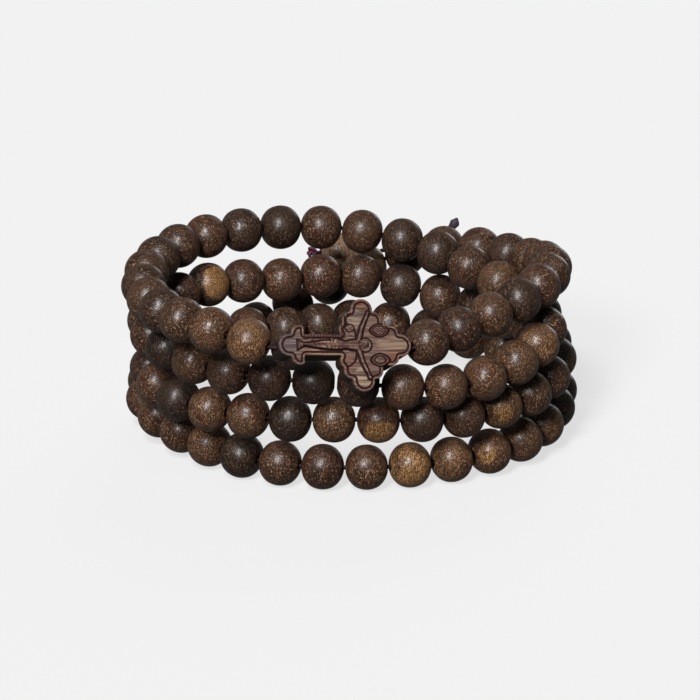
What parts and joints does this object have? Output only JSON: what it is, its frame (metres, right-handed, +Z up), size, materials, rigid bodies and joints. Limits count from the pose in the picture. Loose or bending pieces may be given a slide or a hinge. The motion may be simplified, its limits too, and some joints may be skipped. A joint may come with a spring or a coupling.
{
  "type": "wooden bead wrap bracelet",
  "caption": "Long string of round dark wooden beads with a carved wooden crucifix bead, lying coiled in stacked turns as a wrap bracelet",
  "frame": {"origin": "on the surface the coil lies on, below the middle of the box around the whole bracelet", "axes": "+X is the wearer's right as the cross faces the viewer, +Y points away from the cross to the back of the coil, +Z is up, along the way a wrist goes in"},
  "size_m": [0.0634, 0.0724, 0.0301],
  "materials": {
    "dark_wood": "polished dark brown wood with fine golden pores",
    "carved_wood": "satin carved wood with burnt edges",
    "light_wood": "polished tan wood",
    "cord": "thin burgundy elastic cord"
  },
  "bodies": {
    "root": {"bead_01": "dark_wood", "bead_02": "dark_wood", "bead_03": "dark_wood", "bead_04": "dark_wood", "bead_05": "dark_wood", "bead_06": "dark_wood", "bead_07": "dark_wood", "bead_08": "dark_wood", "bead_09": "dark_wood", "bead_10": "dark_wood", "bead_11": "dark_wood", "bead_12": "dark_wood", "bead_13": "dark_wood", "bead_14": "dark_wood", "bead_15": "dark_wood", "bead_16": "dark_wood", "bead_17": "dark_wood", "bead_18": "dark_wood", "bead_19": "dark_wood", "bead_20": "dark_wood", "bead_21": "dark_wood", "bead_22": "dark_wood", "bead_23": "dark_wood", "bead_24": "dark_wood", "bead_25": "dark_wood", "bead_26": "dark_wood", "bead_27": "dark_wood", "bead_28": "dark_wood", "bead_29": "dark_wood", "bead_30": "dark_wood", "bead_31": "dark_wood", "bead_32": "dark_wood", "bead_33": "dark_wood", "bead_34": "dark_wood", "bead_35": "dark_wood", "bead_36": "dark_wood", "bead_37": "dark_wood", "bead_38": "dark_wood", "bead_39": "dark_wood", "bead_40": "dark_wood", "strand_1": "dark_wood", "strand_2": "dark_wood", "strand_3": "dark_wood", "strand_4": "dark_wood", "strand_5": "dark_wood", "strand_6": "dark_wood", "cross_bead": "carved_wood", "guru_bead": "light_wood", "tail_bead": "light_wood", "cord_knot": "cord", "string_cord": "cord", "tail_cord": "cord", "cord_end": "cord"}
  },
  "joints": []
}
